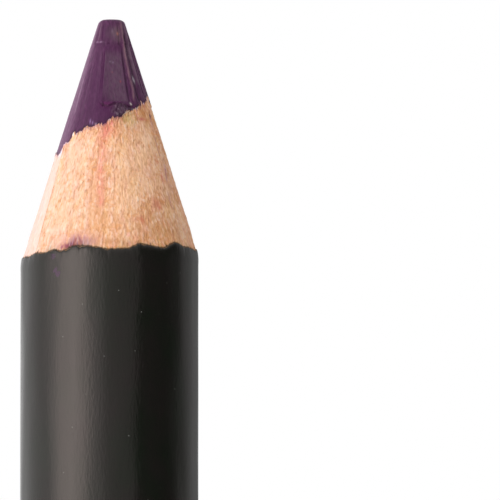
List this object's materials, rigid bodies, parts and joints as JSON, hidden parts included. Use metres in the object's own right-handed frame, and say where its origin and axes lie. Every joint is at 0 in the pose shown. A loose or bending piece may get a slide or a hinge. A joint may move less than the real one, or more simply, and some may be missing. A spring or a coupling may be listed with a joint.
{
  "type": "crayon",
  "caption": "Round wood-cased cosmetic crayon with a thick soft core, sharpened to a blunt cone at one end and dipped in colour at the other.",
  "frame": {"origin": "centre of the flat dipped end face, which the crayon stands on", "axes": "+Z along the barrel from the dipped end to the tip; the glue joint between the two slats lies 36 degrees from +X towards +Y"},
  "size_m": [0.01, 0.01, 0.115],
  "materials": {
    "pigment": "waxy satin",
    "wood": "fresh cut, unvarnished",
    "glue": "dried glue",
    "primer": "thin primer",
    "black_lacquer": "satin lacquer",
    "dip": "dipped lacquer"
  },
  "bodies": {
    "root": {"pigment_core": "pigment", "front_slat": "wood", "rear_slat": "wood", "glue_film": "glue", "primer_coat": "primer", "black_lacquer": "black_lacquer", "end_dip": "dip"}
  },
  "joints": []
}
